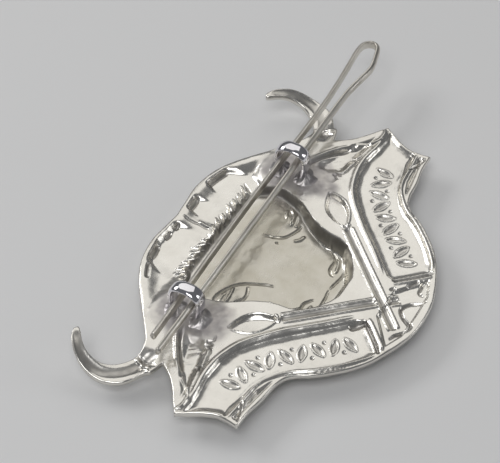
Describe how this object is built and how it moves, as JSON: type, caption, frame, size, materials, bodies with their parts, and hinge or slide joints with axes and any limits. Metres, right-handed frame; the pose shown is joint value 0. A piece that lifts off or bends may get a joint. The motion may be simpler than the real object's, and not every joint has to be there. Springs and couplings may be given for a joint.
{
  "type": "cap badge",
  "caption": "Die-struck sheet-metal cap badge, animal head over crossed spears and a ribbon, with two soldered wire lugs and a half-round wire split pin.",
  "frame": {"origin": "the flat front of the animal's muzzle, on which the badge rests face down, on the badge's line of symmetry", "axes": "+X towards the loop of the split pin, +Y towards the crown of the badge as it is worn, +Z out of the hollow back of the badge"},
  "size_m": [0.0737, 0.0402, 0.0091],
  "materials": {
    "white_metal": "satin",
    "polished_lug": "polished",
    "solder": "dull, lumpy",
    "pin_wire": "satin"
  },
  "bodies": {
    "badge": {"struck_plate": "white_metal", "left_lug": "polished_lug", "right_lug": "polished_lug", "left_lug_upper_solder": "solder", "left_lug_lower_solder": "solder", "right_lug_upper_solder": "solder", "right_lug_lower_solder": "solder"},
    "pin": {"split_pin": "pin_wire"}
  },
  "joints": [
    {"name": "pin_slide", "type": "slide", "parent": "badge", "child": "pin", "axis": [0.9997, 0.0262, 0], "range_m": [-0.016, 0.042]}
  ]
}
